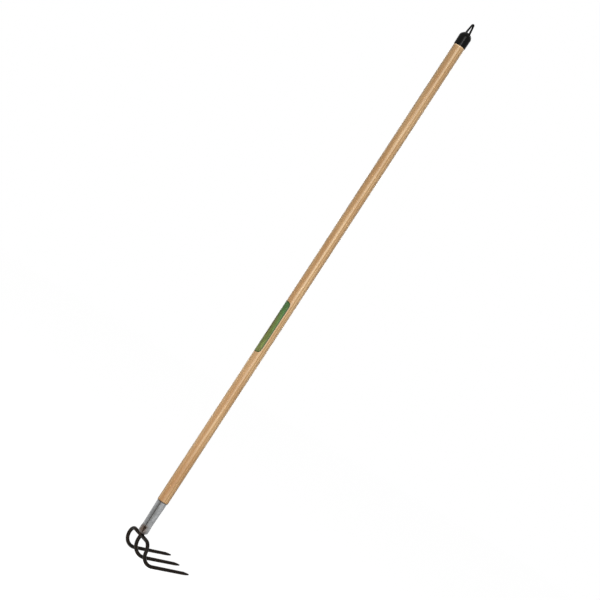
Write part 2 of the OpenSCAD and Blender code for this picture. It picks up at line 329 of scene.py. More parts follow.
def deselect():
    """Leaves object mode active and nothing selected."""
    if bpy.context.mode != "OBJECT":
        bpy.ops.object.mode_set(mode="OBJECT")
    bpy.ops.object.select_all(action="DESELECT")


def select(piece):
    """Leaves one piece active and nothing else selected."""
    deselect()
    piece.select_set(True)
    bpy.context.view_layer.objects.active = piece


def edit():
    """Opens the active piece for editing, all selected."""
    bpy.ops.object.mode_set(mode="EDIT")
    bpy.ops.mesh.select_all(action="SELECT")


def begin(name):
    """Names the primitive just added, puts its place into its mesh and opens it for editing."""
    piece = bpy.context.object
    piece.name = piece.data.name = name
    bpy.ops.object.transform_apply(location=True, rotation=True, scale=True)
    edit()
    return piece


def close(piece):
    """Merges doubles, points the faces outwards and leaves edit mode."""
    bpy.ops.mesh.select_all(action="SELECT")
    bpy.ops.mesh.remove_doubles(threshold=DOUBLE)
    bpy.ops.mesh.normals_make_consistent(inside=False)
    bpy.ops.object.mode_set(mode="OBJECT")
    return piece


def clean(piece):
    """Dissolves the slivers that cuts and bevels leave."""
    select(piece)
    edit()
    bpy.ops.mesh.remove_doubles(threshold=SLIVER)
    bpy.ops.mesh.dissolve_degenerate(threshold=SLIVER)
    close(piece)


def apply_modifier(piece, kind, **settings):
    """Adds one modifier and applies it."""
    select(piece)
    made = piece.modifiers.new(kind.title(), kind)
    for key, value in settings.items():
        setattr(made, key, value)
    bpy.ops.object.modifier_apply(modifier=made.name)


def smooth(piece, crease=None):
    """Shades a piece smooth, or only across edges flatter than a crease angle."""
    select(piece)
    if crease is None:
        bpy.ops.object.shade_smooth()
    else:
        bpy.ops.object.shade_smooth_by_angle(angle=crease)


def finish(piece, material, slot, *nodes):
    """Gives a piece its material and lets it stand for its nodes on the frame; its slot is not
    used.
    """
    piece.data.materials.clear()
    piece.data.materials.append(material)
    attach(piece, "root")
    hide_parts(*nodes)


def facing(turn):
    """Level direction at a turn from +X."""
    return Vector((math.cos(turn), math.sin(turn), 0.0))


def between(start, end, i, steps):
    """Value at one of the steps from start to end."""
    return start + (end - start) * i / steps


def arc(centre, radius, start, end, steps):
    """Rings of radius and height along a circle's arc in the half section, its ends included."""
    turns = [between(start, end, i, steps) for i in range(steps + 1)]
    return [(centre[0] + radius * math.cos(a), centre[1] + radius * math.sin(a)) for a in turns]


def draw_out(step, scale, centre):
    """Extrudes the selected end by a step and scales the new end about its centre."""
    bpy.ops.mesh.extrude_region_move(TRANSFORM_OT_translate={"value": step})
    bpy.ops.transform.resize(value=scale, center_override=centre)


def turn(name, rings, sides, fill="NGON"):
    """Turns a piece round the axis: a disc is drawn through rings of radius and height."""
    deselect()
    radius, z = rings[0]
    bpy.ops.mesh.primitive_circle_add(
        vertices=sides, radius=radius, fill_type=fill, location=(0, 0, z)
    )
    piece = begin(name)
    for next_radius, next_z in rings[1:]:
        share = next_radius / radius
        draw_out((0, 0, next_z - z), (share, share, 1), (0, 0, next_z))
        radius, z = next_radius, next_z
    return piece


def rod_start(name, point, heading, d, sides=ROD_SIDES):
    """Starts a rod as a disc that faces along its heading."""
    deselect()
    turn_to = heading.to_track_quat("Z", "Y").to_euler()
    bpy.ops.mesh.primitive_circle_add(
        vertices=sides, radius=d / 2, fill_type="NGON", location=point, rotation=turn_to
    )
    return begin(name)


def rod_straight(point, heading, length, share=1.0):
    """Draws the selected end straight on and returns where it ends."""
    end = point + heading * length
    draw_out(heading * length, (share, share, share), end)
    return end


def rod_bend(point, heading, side, radius, angle):
    """Spins the selected end round a bend to one side and returns its end, heading and side."""
    centre = point + side * radius
    bpy.ops.mesh.spin(
        steps=max(BEND_LEAST, round(math.degrees(angle) / BEND_STEP)),
        angle=angle,
        center=centre,
        axis=side.cross(heading),
    )
    end = centre + radius * (heading * math.sin(angle) - side * math.cos(angle))
    turned = heading * math.cos(angle) + side * math.sin(angle)
    return end, turned, side * math.cos(angle) - heading * math.sin(angle)


def rod_point(point, heading, outer, sizes):
    """Draws the selected end to a forged point that lies to the outer side, with a round nose."""
    start_r, nose_r = sizes.point_d / 2, sizes.nose_d / 2
    shift = sizes.point_lean * (start_r - nose_r)
    step = (heading * sizes.point_l + outer * shift) / POINT_STEPS
    radius = start_r
    for i in range(1, POINT_STEPS + 1):
        share = i / POINT_STEPS
        drawn = POINT_TAPER * share + (1 - POINT_TAPER) * share * share
        next_radius = start_r + (nose_r - start_r) * drawn
        point = point + step
        k = next_radius / radius
        draw_out(step, (k, k, k), point)
        radius = next_radius
    before = 0.0
    for angle in map(math.radians, NOSE_TURNS):
        ahead = nose_r * (math.sin(angle) - math.sin(before))
        k = math.cos(angle) / math.cos(before)
        point = point + heading * ahead
        draw_out(heading * ahead, (k, k, k), point)
        before = angle
    bpy.ops.mesh.merge(type="CENTER")


def rod_finish(rod, point, heading, outer, sizes):
    """Draws a tine's straight run to its reach, forges its point and closes the rod."""
    run = (sizes.reach - point.x) / math.cos(sizes.rise) - sizes.point_l
    point = rod_straight(point, heading, run, sizes.point_d / sizes.rod_d)
    rod_point(point, heading, outer, sizes)
    smooth(close(rod))


# Materials


def empty_tree(owner):
    """The node tree of a material or world, with nothing in it."""
    owner.use_nodes = True
    owner.node_tree.nodes.clear()
    return owner.node_tree


def add(tree, kind, values=(), stops=(), **settings):
    """Adds a shader node with its settings, its values and links, and the stops of a colour ramp.

    The values go by the names of the inputs, or in a list by their order. A node among them is
    linked by the first of its outputs that is in use.
    """
    made = tree.nodes.new("ShaderNode" + kind)
    for key, value in settings.items():
        setattr(made, key, value)
    inputs = [socket for socket in made.inputs if socket.enabled]
    if isinstance(values, dict):
        names = [socket.name for socket in inputs]
        inputs = [inputs[names.index(name)] for name in values]
        values = values.values()
    for socket, value in zip(inputs, values):
        if isinstance(value, bpy.types.Node):
            value = next(output for output in value.outputs if output.enabled)
        if isinstance(value, bpy.types.NodeSocket):
            tree.links.new(value, socket)
        else:
            socket.default_value = value
    for i, (place, colour) in enumerate(stops):
        ramp = made.color_ramp.elements
        while len(ramp) < len(stops):
            ramp.new(1.0)
        ramp[i].position = place
        ramp[i].color = rgba(colour)
    return made


def new_material(name):
    """A new material, its empty tree and its texture coordinates."""
    material = bpy.data.materials.new(name)
    tree = empty_tree(material)
    return material, tree, add(tree, "TexCoord")


def lacquered_ash(sizes, shoulder_z, rim_z):
    """Turned ash under satin lacquer: bands of grain run along the shaft, with a soft sheen."""
    material, tree, place = new_material("Lacquered ash")
    obj = place.outputs["Object"]
    # Year rings about 3 mm apart, drawn 5 mm apart so that they show, round a pith 70 mm away.
    off_axis = add(
        tree, "Mapping", {"Vector": obj, "Location": PITH, "Scale": (1.0, 1.0, 0.025)}
    )
    rings = add(
        tree,
        "TexWave",
        {
            "Vector": off_axis,
            "Scale": WAVE_W / RING_W,
            "Distortion": 1.6,
            "Detail": 2.0,
            "Detail Scale": 0.7,
        },
        wave_type="RINGS",
        rings_direction="Z",
        wave_profile="SAW",
    )
    # Pores of the earlywood, 0.3 mm wide and drawn 2.4 mm wide, about 200 mm long.
    along = add(tree, "Mapping", {"Vector": obj, "Scale": (1.0, 1.0, 0.012)})
    pores = add(
        tree,
        "TexNoise",
        {"Vector": along, "Scale": 1 / PORE_W, "Detail": 2.0, "Roughness": 0.5},
    )
    # Slow changes of tone, 12 mm wide and 120 mm long.
    slow = add(tree, "Mapping", {"Vector": obj, "Scale": (1.0, 1.0, 0.1)})
    drift = add(tree, "TexNoise", {"Vector": slow, "Scale": 1 / TONE_W, "Detail": 1.0})
    grain = add(
        tree, "Mix", {"Factor": 0.5, "A": rings.outputs["Fac"], "B": pores}, data_type="FLOAT"
    )
    bands = add(
        tree,
        "ValToRGB",
        {"Fac": grain},
        stops=[(0.25, sizes.earlywood), (0.75, sizes.latewood)],
    )
    tone = add(
        tree, "MapRange", {"Value": drift, "From Min": 0.42, "From Max": 0.68, "To Max": 0.4}
    )
    # The warm heartwood shows as a stripe about 15 mm wide along one side, towards the head.
    z = add(tree, "SeparateXYZ", {"Vector": obj}).outputs["Z"]
    to_head = add(
        tree,
        "MapRange",
        {"Value": z, "From Min": shoulder_z + STRIPE_L, "From Max": shoulder_z, "To Max": 0.75},
    )
    to_heart = add(tree, "VectorMath", [obj, HEARTWOOD_SIDE], operation="DOT_PRODUCT")
    stripe = add(
        tree,
        "MapRange",
        {"Value": to_heart, "From Min": STRIPE_START, "From Max": STRIPE_FULL, "To Min": 0.15},
    )
    heart = add(tree, "Math", [to_head, stripe], operation="MULTIPLY")
    warm = add(tree, "Math", [heart, tone], operation="ADD", use_clamp=True)
    warmed = add(
        tree, "Mix", {"Factor": warm, "A": bands, "B": rgba(sizes.heartwood)}, data_type="RGBA"
    )
    # A pale ring about 2 mm deep just below the cap is a painted highlight.
    rim_highlight_share = add(
        tree,
        "MapRange",
        {"Value": z, "From Min": rim_z - RIM_HIGHLIGHT_START, "From Max": rim_z - RIM_HIGHLIGHT_FULL},
    )
    highlighted = add(
        tree, "Mix", {"Factor": rim_highlight_share, "A": warmed, "B": rgba(sizes.rim_highlight)}, data_type="RGBA"
    )
    # Iron stains the shoulder and the tenon in the socket.
    stained = add(
        tree,
        "MapRange",
        {"Value": z, "From Min": shoulder_z + STAIN_START, "From Max": shoulder_z + STAIN_FULL},
    )
    colour = add(
        tree, "Mix", {"Factor": stained, "A": highlighted, "B": rgba(sizes.stain)}, data_type="RGBA"
    )
    # Handling has dulled the lacquer towards the head.
    lacquer = add(tree, "MapRange", {"Value": pores, "To Min": 0.39, "To Max": 0.31})
    roughness = add(tree, "Math", [to_head, 0.16, lacquer], operation="MULTIPLY_ADD")
    bump = add(tree, "Bump", {"Height": grain, "Strength": 0.05, "Distance": 0.0002})
    shader = add(
        tree,
        "BsdfPrincipled",
        {
            "Base Color": colour,
            "Roughness": roughness,
            "IOR": 1.5,
            "Specular IOR Level": 0.3,
            "Normal": bump,
        },
    )
    add(tree, "OutputMaterial", {"Surface": shader})
    return material


def moulded_polypropylene(colour):
    """Polypropylene from a fine sparked mould: almost black, with one soft long highlight."""
    material, tree, place = new_material("Moulded polypropylene")
    obj = place.outputs["Object"]
    # Spark texture of the mould, 0.1 mm and drawn 0.8 mm.
    spark = add(tree, "TexNoise", {"Vector": obj, "Scale": 1 / SPARK_W, "Detail": 2.0})
    # Handling marks about 9 mm across.
    marks = add(tree, "TexNoise", {"Vector": obj, "Scale": 1 / MARK_W, "Detail": 3.0})
    tint = add(
        tree,
        "ValToRGB",
        {"Fac": marks},
        stops=[(0.3, [c * 0.7 for c in colour]), (0.75, [c * 1.5 for c in colour])],
    )
    roughness = add(tree, "MapRange", {"Value": marks, "To Min": 0.2, "To Max": 0.28})
    bump = add(tree, "Bump", {"Height": spark, "Strength": 0.15, "Distance": 0.0001})
    shader = add(
        tree,
        "BsdfPrincipled",
        {
            "Base Color": tint,
            "Roughness": roughness,
            "IOR": 1.49,
            "Specular IOR Level": 0.085,
            "Normal": bump,
        },
    )
    add(tree, "OutputMaterial", {"Surface": shader})
    return material


def zinc_plated_steel(sizes, heat_spot):
    """Zinc plated sheet: satin grey, with dirt and painted shade along the seam, browned by the
    heat of the weld.
    """
    material, tree, place = new_material("Zinc plated steel")
    obj = place.outputs["Object"]
    # Rolling lines along the sheet, 0.2 mm and drawn 1.4 mm wide.
    along = add(tree, "Mapping", {"Vector": obj, "Scale": (1.0, 1.0, 0.06)})
    lines = add(tree, "TexNoise", {"Vector": along, "Scale": 1 / LINE_W, "Detail": 2.0})
    # Cloudy plating about 7 mm across.
    clouds = add(tree, "TexNoise", {"Vector": obj, "Scale": 1 / CLOUD_W, "Detail": 3.0})
    plating = add(tree, "Mix", {"Factor": 0.6, "A": lines, "B": clouds}, data_type="FLOAT")
    grey = add(
        tree, "ValToRGB", {"Fac": plating}, stops=[(0.35, sizes.dull_zinc), (0.65, sizes.zinc)]
    )
    # Dirt with painted shade lies up to 11.5 mm each side of the seam, only on the seam's own side.
    along_sheet = (-math.sin(sizes.seam_turn), math.cos(sizes.seam_turn), 0.0)
    beside = add(tree, "VectorMath", [obj, along_sheet], operation="DOT_PRODUCT")
    aside = add(tree, "Math", [beside], operation="ABSOLUTE")
    to_seam = add(tree, "VectorMath", [obj, facing(sizes.seam_turn)], operation="DOT_PRODUCT")
    this_side = add(tree, "Math", [to_seam, 0.0], operation="GREATER_THAN")
    soiled_and_shaded = add(
        tree,
        "MapRange",
        {"Value": aside, "From Min": DIRT_AND_SHADE_START, "From Max": DIRT_AND_SHADE_FULL, "To Max": 0.78},
        interpolation_type="SMOOTHSTEP",
    )
    seam_dirt_and_shade = add(tree, "Math", [soiled_and_shaded, this_side], operation="MULTIPLY")
    dirty_and_shaded = add(
        tree, "Mix", {"Factor": seam_dirt_and_shade, "A": grey, "B": rgba(sizes.seam_dirt_and_shade)}, data_type="RGBA"
    )
    # The heat tint fades out about 15 mm from its middle, with a ragged edge.
    apart = add(tree, "VectorMath", [obj, heat_spot], operation="DISTANCE")
    ragged = add(tree, "Math", [clouds, HEAT_RAGGED, apart], operation="MULTIPLY_ADD")
    heat = add(
        tree,
        "MapRange",
        {"Value": ragged, "From Min": HEAT_START, "From Max": HEAT_FULL, "To Max": 0.85},
    )
    colour = add(
        tree, "Mix", {"Factor": heat, "A": dirty_and_shaded, "B": rgba(sizes.heat_tint)}, data_type="RGBA"
    )
    roughness = add(tree, "MapRange", {"Value": plating, "To Min": 0.8, "To Max": 0.62})
    bump = add(tree, "Bump", {"Height": plating, "Strength": 0.2, "Distance": 0.0002})
    shader = add(
        tree,
        "BsdfPrincipled",
        {"Base Color": colour, "Metallic": 1.0, "Roughness": roughness, "Normal": bump},
    )
    add(tree, "OutputMaterial", {"Surface": shader})
    return material


def dipped_enamel(sizes, mouth_z):
    """Dipped enamel on forged rod: near black, brown where it is thin, with a dull sheen."""
    material, tree, place = new_material("Dipped enamel")
    obj = place.outputs["Object"]
    # Runs and thin places about 6 mm across.
    runs = add(
        tree, "TexNoise", {"Vector": obj, "Scale": 1 / RUN_W, "Detail": 4.0, "Roughness": 0.6}
    )
    # Forge scale under the enamel, 0.4 mm and drawn 1.5 mm.
    forged = add(tree, "TexNoise", {"Vector": obj, "Scale": 1 / FORGED_W, "Detail": 2.0})
    coat = add(
        tree, "ValToRGB", {"Fac": runs}, stops=[(0.42, sizes.enamel), (0.72, sizes.worn_enamel)]
    )
    # The rod inside the socket has no enamel, and the weld has browned it.
    z = add(tree, "SeparateXYZ", {"Vector": obj}).outputs["Z"]
    inside = add(
        tree, "MapRange", {"Value": z, "From Min": mouth_z, "From Max": mouth_z + ENAMEL_FADE}
    )
    colour = add(
        tree, "Mix", {"Factor": inside, "A": coat, "B": rgba(sizes.bare_rod)}, data_type="RGBA"
    )
    roughness = add(tree, "MapRange", {"Value": runs, "To Min": 0.35, "To Max": 0.6})
    bump = add(tree, "Bump", {"Height": forged, "Strength": 0.3, "Distance": 0.0002})
    shader = add(
        tree,
        "BsdfPrincipled",
        {
            "Base Color": colour,
            "Roughness": roughness,
            "IOR": 1.5,
            "Specular IOR Level": 0.08,
            "Normal": bump,
        },
    )
    add(tree, "OutputMaterial", {"Surface": shader})
    return material


def burnt_weld(sizes):
    """Weld metal under burnt scale and thin enamel: rough and brown black."""
    material, tree, place = new_material("Burnt weld")
    obj = place.outputs["Object"]
    # Scale flakes about 2 mm across.
    flakes = add(
        tree, "TexNoise", {"Vector": obj, "Scale": 1 / FLAKE_W, "Detail": 4.0, "Roughness": 0.65}
    )
    colour = add(
        tree, "ValToRGB", {"Fac": flakes}, stops=[(0.35, sizes.enamel), (0.7, sizes.scale)]
    )
    bump = add(tree, "Bump", {"Height": flakes, "Strength": 0.5, "Distance": 0.0003})
    shader = add(
        tree,
        "BsdfPrincipled",
        {
            "Base Color": colour,
            "Roughness": 0.6,
            "IOR": 1.5,
            "Specular IOR Level": 0.08,
            "Normal": bump,
        },
    )
    add(tree, "OutputMaterial", {"Surface": shader})
    return material


def printed_film(sizes, length):
    """Printed polypropylene film: soft green and olive inks in a dark edge, with a satin face."""
    material, tree, place = new_material("Printed film")
    uv = add(tree, "SeparateXYZ", {"Vector": place.outputs["UV"]})
    across, up = uv.outputs["X"], uv.outputs["Y"]
    obj = place.outputs["Object"]
    # Uneven ink, patches about 6 mm across and twice as long.
    stretched = add(tree, "Mapping", {"Vector": obj, "Scale": (1.0, 1.0, 0.5)})
    patches = add(tree, "TexNoise", {"Vector": stretched, "Scale": 1 / PATCH_W, "Detail": 3.0})
    uneven = add(tree, "MapRange", {"Value": patches, "To Min": -0.4, "To Max": 0.4})
    place_up = add(tree, "Math", [up, uneven], operation="ADD", use_clamp=True)
    inks = add(
        tree,
        "ValToRGB",
        {"Fac": place_up},
        stops=[(0.05, sizes.foot_green), (0.5, sizes.leaf_green), (0.95, sizes.top_green)],
    )
    # Olive ink away from the front edge, strongest at half height.
    aside = add(
        tree, "MapRange", {"Value": across, "From Min": 0.9, "From Max": 0.62, "To Max": 0.85}
    )
    from_centre = add(tree, "Math", [up, 0.5], operation="SUBTRACT")
    off_centre = add(tree, "Math", [from_centre], operation="ABSOLUTE")
    midway = add(tree, "MapRange", {"Value": off_centre, "From Min": 0.36, "From Max": 0.12})
    olive = add(tree, "Math", [aside, midway], operation="MULTIPLY")
    toned = add(
        tree, "Mix", {"Factor": olive, "A": inks, "B": rgba(sizes.olive)}, data_type="RGBA"
    )
    # Mottled ink, darker in the same patches.
    mottle = add(
        tree,
        "ValToRGB",
        {"Fac": patches},
        stops=[(0.38, (0.55, 0.55, 0.55)), (0.58, (1.0, 1.0, 1.0))],
    )
    mottled = add(
        tree,
        "Mix",
        {"Factor": 0.8, "A": toned, "B": mottle},
        data_type="RGBA",
        blend_type="MULTIPLY",
    )
    # Distance out from the centres of the round corners, in metres, from the film's flat map.
    from_middle = add(tree, "Math", [across, 0.5], operation="SUBTRACT")
    off_middle = add(tree, "Math", [from_middle], operation="ABSOLUTE")
    past_side = add(
        tree,
        "Math",
        [off_middle, sizes.width, sizes.corner_r - sizes.width / 2],
        operation="MULTIPLY_ADD",
    )
    past_end = add(
        tree, "Math", [off_centre, length, sizes.corner_r - length / 2], operation="MULTIPLY_ADD"
    )
    past = add(tree, "CombineXYZ", {"X": past_side, "Y": past_end})
    past_corner = add(tree, "VectorMath", [past, (0, 0, 0)], operation="MAXIMUM")
    reach = add(tree, "VectorMath", [past_corner], operation="LENGTH")
    edge = add(
        tree,
        "MapRange",
        {
            "Value": reach,
            "From Min": sizes.corner_r - sizes.border,
            "From Max": sizes.corner_r - sizes.border * BORDER_FULL,
            "To Max": 0.85,
        },
    )
    colour = add(
        tree, "Mix", {"Factor": edge, "A": mottled, "B": rgba(sizes.edge_green)}, data_type="RGBA"
    )
    roughness = add(tree, "MapRange", {"Value": patches, "To Min": 0.3, "To Max": 0.42})
    bump = add(tree, "Bump", {"Height": patches, "Strength": 0.1, "Distance": 0.0002})
    shader = add(
        tree,
        "BsdfPrincipled",
        {
            "Base Color": colour,
            "Roughness": roughness,
            "IOR": 1.49,
            "Specular IOR Level": 0.18,
            "Normal": bump,
        },
    )
    add(tree, "OutputMaterial", {"Surface": shader})
    return material


def seen_rays(tree):
    """One for rays that see the background, straight or in metal or glass, and zero for light."""
    path = add(tree, "LightPath").outputs
    direct = add(
        tree, "Math", [path["Is Camera Ray"], path["Is Glossy Ray"]], operation="MAXIMUM"
    )
    return add(tree, "Math", [direct, path["Is Transmission Ray"]], operation="MAXIMUM")


def white_paper():
    """White studio paper: bright to the camera, with the soft shadow of the object left on it."""
    material, tree, place = new_material("White paper")
    # Cloudy fibres about 50 mm across.
    obj = place.outputs["Object"]
    fibres = add(tree, "TexNoise", {"Vector": obj, "Scale": 1 / FIBRE_W, "Detail": 2.0})
    tone = add(
        tree,
        "ValToRGB",
        {"Fac": fibres},
        stops=[(0.3, linear("#E9E9E8")), (0.7, linear("#EEEEED"))],
    )
    paper = add(tree, "BsdfDiffuse", {"Color": tone})
    lift = add(tree, "Math", [seen_rays(tree), PAPER_GLOW], operation="MULTIPLY")
    glow = add(tree, "Emission", {"Strength": lift})
    both = add(tree, "AddShader", [paper, glow])
    add(tree, "OutputMaterial", {"Surface": both})
    return material


# Operators


class CULTIVATOR_OT_stage(bpy.types.Operator):
    """Sets the camera, the lamps, the white world and the paper floor"""

    bl_idname = "cultivator.stage"
    bl_label = "Stage"

    def execute(self, context):
        sizes = context.scene.cultivator_stage
        scene = context.scene
        scene.view_settings.view_transform = "Standard"

        back = Vector((math.sin(sizes.azimuth), -math.cos(sizes.azimuth), 0.0))
        level = facing(sizes.azimuth)
        aim = level * sizes.aim_side + Vector((0, 0, sizes.aim_z))
        eye = level * sizes.aim_side + back * sizes.distance + Vector((0, 0, sizes.eye_z))
        sight = (eye - aim).normalized()
        upright = sight.cross(level)
        right = level * math.cos(sizes.roll) + upright * math.sin(sizes.roll)
        up = sight.cross(right)
        deselect()
        bpy.ops.object.camera_add()
        camera = context.object
        camera.name = "Camera"
        turned = Matrix((right, up, sight)).transposed().to_4x4()
        camera.matrix_world = Matrix.Translation(eye) @ turned
        camera.data.lens = sizes.lens
        camera.data.sensor_width = SENSOR_MM
        scene.camera = camera

        middle = Vector((0, 0, (CAD_LOW.z + CAD_HIGH.z) / 2))
        for name, power, (ahead, aside, above), width, height in LAMPS:
            offset = back * ahead + level * aside + Vector((0, 0, above))
            deselect()
            bpy.ops.object.light_add(type="AREA", location=middle + offset)
            lamp = context.object
            lamp.name = name
            lamp.rotation_euler = offset.to_track_quat("Z", "Y").to_euler()
            lamp.data.shape = "RECTANGLE"
            lamp.data.size = width
            lamp.data.size_y = height
            lamp.data.energy = getattr(sizes, power)
            lamp.visible_camera = False

        scene.world = bpy.data.worlds.new("White studio")
        tree = empty_tree(scene.world)
        strength = add(tree, "MapRange", {"Value": seen_rays(tree), "To Min": sizes.world})
        light = add(tree, "Background", {"Strength": strength, "Color": (1, 1, 1, 1)})
        add(tree, "OutputWorld", {"Surface": light})

        deselect()
        bpy.ops.mesh.primitive_plane_add(
            size=FLOOR_W, location=(0, 0, CAD_LOW.z - sizes.floor_drop)
        )
        floor = begin("Floor")
        bpy.ops.mesh.subdivide(number_cuts=3)
        bpy.ops.object.mode_set(mode="OBJECT")
        floor.data.materials.append(white_paper())
        return {"FINISHED"}


class CULTIVATOR_OT_shaft(bpy.types.Operator):
    """Finishes the turned ash shaft"""

    bl_idname = "cultivator.shaft"
    bl_label = "Shaft"

    def execute(self, context):
        shoulder_z = SOCKET_HIGH.z + JOINT_GAP
        wood = lacquered_ash(context.scene.cultivator_shaft, shoulder_z, CAP_LOW.z)
        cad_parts["shaft"].material_slots[0].material = wood
        return {"FINISHED"}


class CULTIVATOR_OT_end_cap(bpy.types.Operator):
    """Models the end cap: a turned cup and dome with a bent loop, melted into one moulding"""

    bl_idname = "cultivator.end_cap"
    bl_label = "End cap"

    def execute(self, context):
        sizes = context.scene.cultivator_cap
        rim_z = CAP_LOW.z
        skirt_z = rim_z + sizes.skirt_h
        crown_z = skirt_z + sizes.dome_h
        rim_r = sizes.cup_r + sizes.rim_t
        skirt_r = sizes.cup_r + sizes.wall_t
        dome_r = (skirt_r**2 + sizes.dome_h**2) / (2 * sizes.dome_h)
        low = math.asin((dome_r - sizes.dome_h) / dome_r)
        dome = arc((0, crown_z - dome_r), dome_r, low, DOME_END, DOME_STEPS)
        cup = [
            (sizes.cup_r * ROOF_SHARE, crown_z - sizes.crown_t),
            (sizes.cup_r, crown_z - sizes.crown_t),
            (sizes.cup_r, rim_z),
            (rim_r, rim_z),
        ]
        cap = turn("end_cap_moulding", cup + dome, CAP_SIDES)
        bpy.ops.mesh.merge(type="CENTER")
        close(cap)

        # The legs lean so that they run into the bend at the top without a kink.
        bend_z = CAP_HIGH.z - sizes.loop_d / 2 - sizes.loop_r
        foot = Vector((0, -sizes.foot_w / 2, crown_z - sizes.foot_drop))
        top = Vector((0, 0, bend_z))
        reach = (top - foot).length
        lean = math.acos(sizes.loop_r / reach) - math.atan2(top.z - foot.z, sizes.foot_w / 2)
        heading = Vector((0, math.sin(lean), math.cos(lean)))
        side = Vector((0, math.cos(lean), -math.sin(lean)))
        leg_l = math.sqrt(reach**2 - sizes.loop_r**2)
        loop = rod_start("loop", foot, heading, sizes.foot_d, LOOP_SIDES)
        point = rod_straight(foot, heading, leg_l, sizes.loop_d / sizes.foot_d)
        point, heading, side = rod_bend(point, heading, side, sizes.loop_r, math.pi - 2 * lean)
        rod_straight(point, heading, leg_l, sizes.foot_d / sizes.loop_d)
        close(loop)

        select(cap)
        loop.select_set(True)
        bpy.ops.object.join()
        apply_modifier(cap, "REMESH", mode="VOXEL", voxel_size=CAP_VOXEL)
        apply_modifier(cap, "SMOOTH", factor=0.5, iterations=5)
        smooth(cap)
        finish(cap, moulded_polypropylene(list(sizes.colour)), "black_moulding", "end_cap")
        return {"FINISHED"}


class CULTIVATOR_OT_socket(bpy.types.Operator):
    """Models the rolled socket with its seam and drop hole, and finishes the nail"""

    bl_idname = "cultivator.socket"
    bl_label = "Socket and nail"

    def execute(self, context):
        sizes = context.scene.cultivator_socket
        rim_z = SOCKET_HIGH.z
        mouth_z = rim_z - sizes.length
        waist_z = rim_z - sizes.waist_drop
        swell_z = mouth_z + sizes.lip_r
        steps = SOCKET_STEPS
        rings = [
            (between(sizes.rim_r, sizes.waist_r, i, steps), between(rim_z, waist_z, i, steps))
            for i in range(steps + 1)
        ]
        for i in range(1, steps + 1):
            share = i / steps
            eased = share * share * (3 - 2 * share)
            radius = sizes.waist_r + (sizes.bulb_r - sizes.waist_r) * eased
            rings.append((radius, waist_z + (swell_z - waist_z) * share * FLARE_SHARE))
        end_turn = -math.acos((sizes.mouth_r - sizes.bulb_r + sizes.lip_r) / sizes.lip_r)
        rings += arc((sizes.bulb_r - sizes.lip_r, swell_z), sizes.lip_r, 0.0, end_turn, steps)
        socket = turn("socket_sheet", rings, SOCKET_SIDES, fill="NOTHING")
        close(socket)
        apply_modifier(
            socket, "SOLIDIFY", thickness=sizes.sheet_t, offset=-1.0, use_even_offset=True
        )

        # The drop hole's cutter is a disc whose lower part is drawn in and down, then extruded.
        outward = facing(sizes.seam_turn + sizes.drop_turn)
        large_r = sizes.drop_w / 2
        small_r = large_r * sizes.drop_tail
        spacing = sizes.drop_l - large_r - small_r
        drop_z = mouth_z + sizes.drop_lip + small_r + spacing
        centre = outward * CUT_START + Vector((0, 0, drop_z))
        deselect()
        bpy.ops.mesh.primitive_circle_add(
            vertices=DROP_SIDES,
            radius=large_r,
            fill_type="NGON",
            location=centre,
            rotation=outward.to_track_quat("Z", "Y").to_euler(),
        )
        drop = begin("drop_cutter")
        tangent_z = drop_z - large_r * (large_r - small_r) / spacing
        cut = bmesh.from_edit_mesh(drop.data)
        for vert in cut.verts:
            vert.select = vert.co.z < tangent_z
        cut.select_flush(False)
        bmesh.update_edit_mesh(drop.data)
        tail = sizes.drop_tail
        bpy.ops.transform.resize(value=(tail, tail, tail), center_override=centre)
        bpy.ops.transform.translate(value=(0, 0, -spacing))
        bpy.ops.mesh.select_all(action="SELECT")
        bpy.ops.mesh.extrude_region_move(TRANSFORM_OT_translate={"value": outward * CUT_L})
        close(drop)

        # The seam's cutter runs from the drop hole past the rim.
        seam_l = rim_z - drop_z + CUT_SPARE
        outward = facing(sizes.seam_turn)
        deselect()
        bpy.ops.mesh.primitive_cube_add(
            size=1.0,
            location=outward * (CUT_START + CUT_L / 2) + Vector((0, 0, drop_z + seam_l / 2)),
            rotation=(0, 0, sizes.seam_turn),
            scale=(CUT_L, sizes.seam_gap, seam_l),
        )
        seam = close(begin("seam_cutter"))
        for cutter in (drop, seam):
            apply_modifier(
                socket, "BOOLEAN", operation="DIFFERENCE", solver="EXACT", object=cutter
            )
            bpy.data.objects.remove(cutter)
        clean(socket)
        apply_modifier(
            socket,
            "BEVEL",
            width=sizes.edge_r,
            segments=2,
            limit_method="ANGLE",
            angle_limit=ROUNDED_FROM,
        )
        clean(socket)
        smooth(socket, SHEET_CREASE)
        steel = zinc_plated_steel(sizes, Vector((HEAT_X, HEAT_Y, mouth_z + HEAT_Z)))
        finish(socket, steel, "zinc_steel", "socket")
        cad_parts["fixing_nail"].material_slots[0].material = steel
        return {"FINISHED"}


